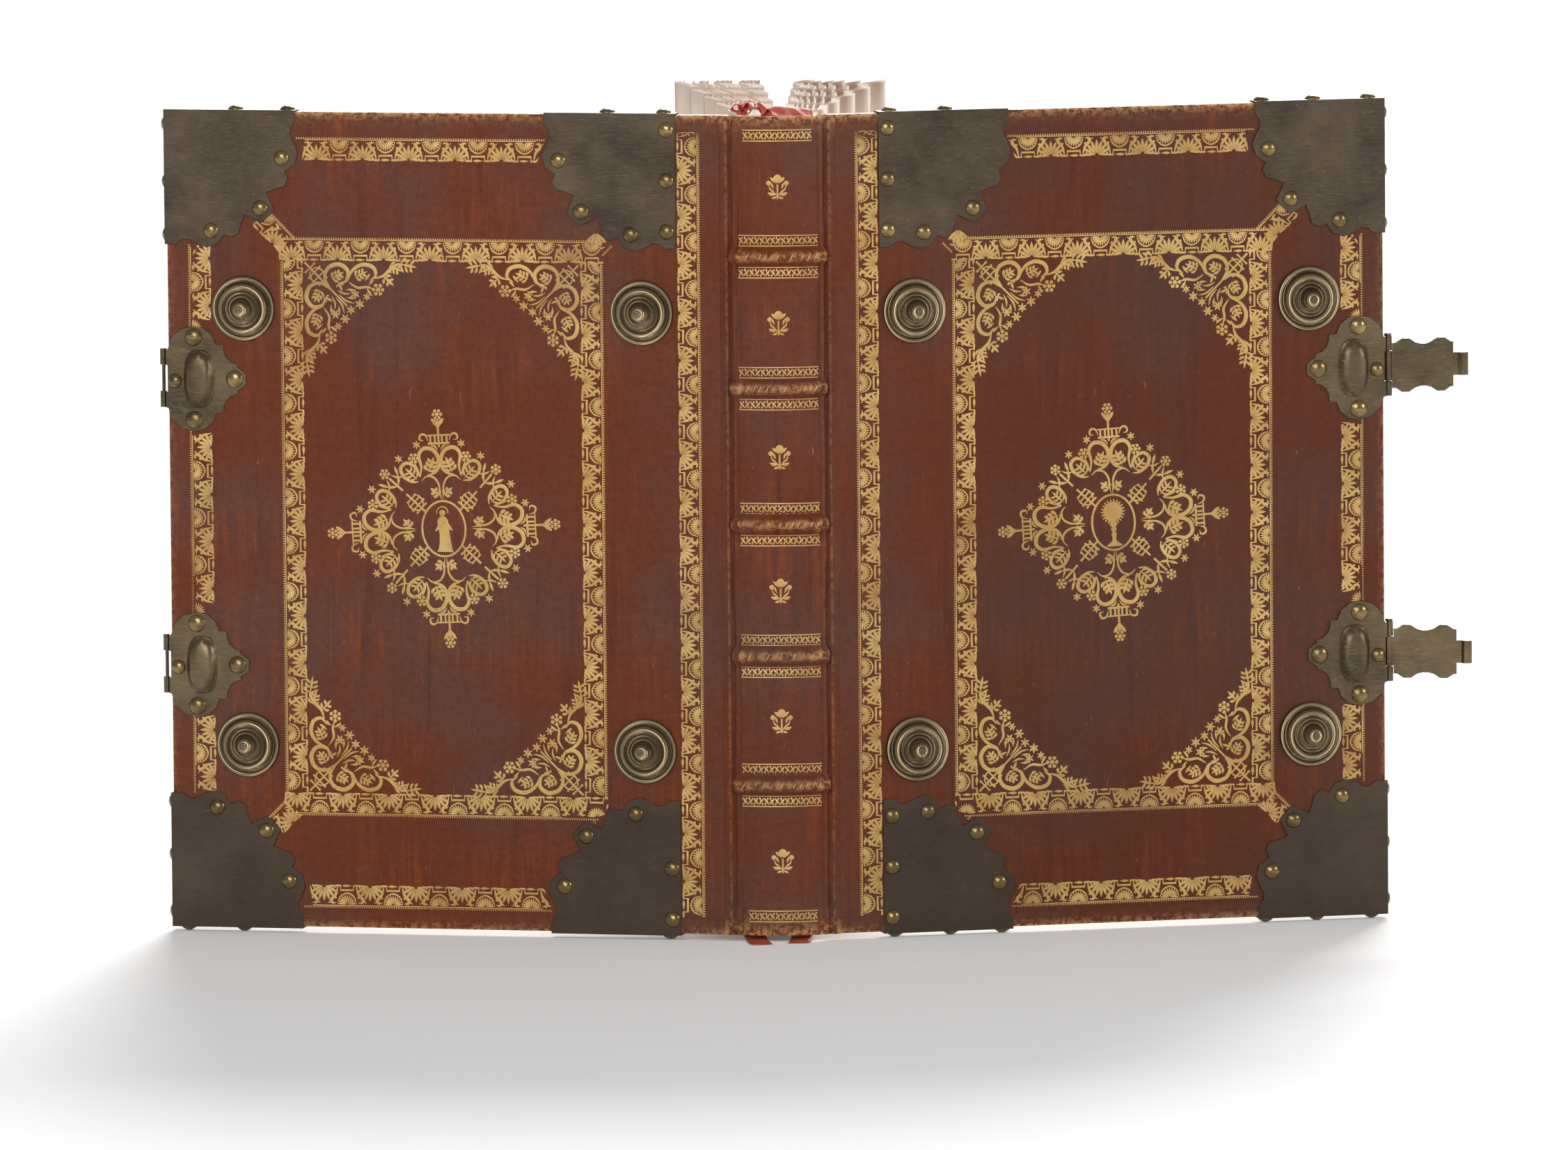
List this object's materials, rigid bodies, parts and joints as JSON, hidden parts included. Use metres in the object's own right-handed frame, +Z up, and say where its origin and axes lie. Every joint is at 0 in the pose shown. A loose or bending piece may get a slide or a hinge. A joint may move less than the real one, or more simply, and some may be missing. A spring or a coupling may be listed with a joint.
{
  "type": "antique leather book",
  "caption": "Large old book in gilt-tooled red-brown leather on wooden boards, with brass corner pieces, bosses and hinged clasps, standing open on its tail.",
  "frame": {"origin": "on the floor under the middle of the spine, midway between the two cover joints", "axes": "+X along the open book towards the front cover, +Y from the spine into the leaves, +Z up the spine to the head"},
  "size_m": [0.6093, 0.2729, 0.3886],
  "materials": {
    "leather": "worn satin, red-brown with rubbed edges",
    "board_wood": "bare, hidden under the leather",
    "pasted_paper": "matt, toned",
    "leaves": "matt, cockled",
    "cord_hemp": "twisted cord",
    "endband_thread": "sewn thread",
    "ribbon_silk": "soft sheen",
    "plate_brass": "dark patina",
    "nail_brass": "rubbed bright on the crown",
    "clasp_brass": "dark patina",
    "gilding": "gold leaf tooled into leather"
  },
  "bodies": {
    "back_cover": {"back_board": "board_wood", "back_corner_nails": "nail_brass", "back_gilt_borders": "gilding", "back_gilt_centre": "gilding", "back_gilt_fans": "gilding", "back_gilt_frame": "gilding", "back_head_fore_boss": "plate_brass", "back_head_fore_corner": "plate_brass", "back_head_spine_boss": "plate_brass", "back_head_spine_corner": "plate_brass", "back_leather": "leather", "back_lower_catch_plate": "clasp_brass", "back_lower_catch_rod": "clasp_brass", "back_pastedown": "pasted_paper", "back_plate_nails": "nail_brass", "back_tail_fore_boss": "plate_brass", "back_tail_fore_corner": "plate_brass", "back_tail_nails": "nail_brass", "back_tail_spine_boss": "plate_brass", "back_tail_spine_corner": "plate_brass", "back_upper_catch_plate": "clasp_brass", "back_upper_catch_rod": "clasp_brass"},
    "front_cover": {"front_board": "board_wood", "front_corner_nails": "nail_brass", "front_gilt_borders": "gilding", "front_gilt_centre": "gilding", "front_gilt_fans": "gilding", "front_gilt_frame": "gilding", "front_head_fore_boss": "plate_brass", "front_head_fore_corner": "plate_brass", "front_head_spine_boss": "plate_brass", "front_head_spine_corner": "plate_brass", "front_leather": "leather", "front_lower_clasp_plate": "clasp_brass", "front_lower_hinge_pin": "clasp_brass", "front_pastedown": "pasted_paper", "front_plate_nails": "nail_brass", "front_tail_fore_boss": "plate_brass", "front_tail_fore_corner": "plate_brass", "front_tail_nails": "nail_brass", "front_tail_spine_boss": "plate_brass", "front_tail_spine_corner": "plate_brass", "front_upper_clasp_plate": "clasp_brass", "front_upper_hinge_pin": "clasp_brass"},
    "spine_and_leaves": {"head_endband": "endband_thread", "head_ribbon": "ribbon_silk", "sewing_cords": "cord_hemp", "spine_gilt_lines": "gilding", "spine_gilt_tools": "gilding", "spine_leather": "leather", "tail_endband": "endband_thread", "tail_ribbons": "ribbon_silk", "text_block": "leaves"},
    "lower_clasp": {"lower_clasp": "clasp_brass"},
    "upper_clasp": {"upper_clasp": "clasp_brass"}
  },
  "joints": [
    {"name": "front_cover_joint", "type": "hinge", "parent": "spine_and_leaves", "child": "front_cover", "pos_m": [0.022, 0, 0.0028], "axis": [0, 0, 1], "range_deg": [-13.5, 76.5], "deforming": ["text_block"]},
    {"name": "back_cover_joint", "type": "hinge", "parent": "spine_and_leaves", "child": "back_cover", "pos_m": [-0.022, 0, 0.0028], "axis": [0, 0, -1], "range_deg": [-13.5, 76.5], "deforming": ["text_block"]},
    {"name": "upper_clasp_hinge", "type": "hinge", "parent": "front_cover", "child": "upper_clasp", "pos_m": [0.28463, 0.06696, 0.2583], "axis": [0, 0, 1], "range_deg": [-95, 90]},
    {"name": "lower_clasp_hinge", "type": "hinge", "parent": "front_cover", "child": "lower_clasp", "pos_m": [0.28463, 0.06696, 0.1248], "axis": [0, 0, 1], "range_deg": [-72, 113]}
  ]
}
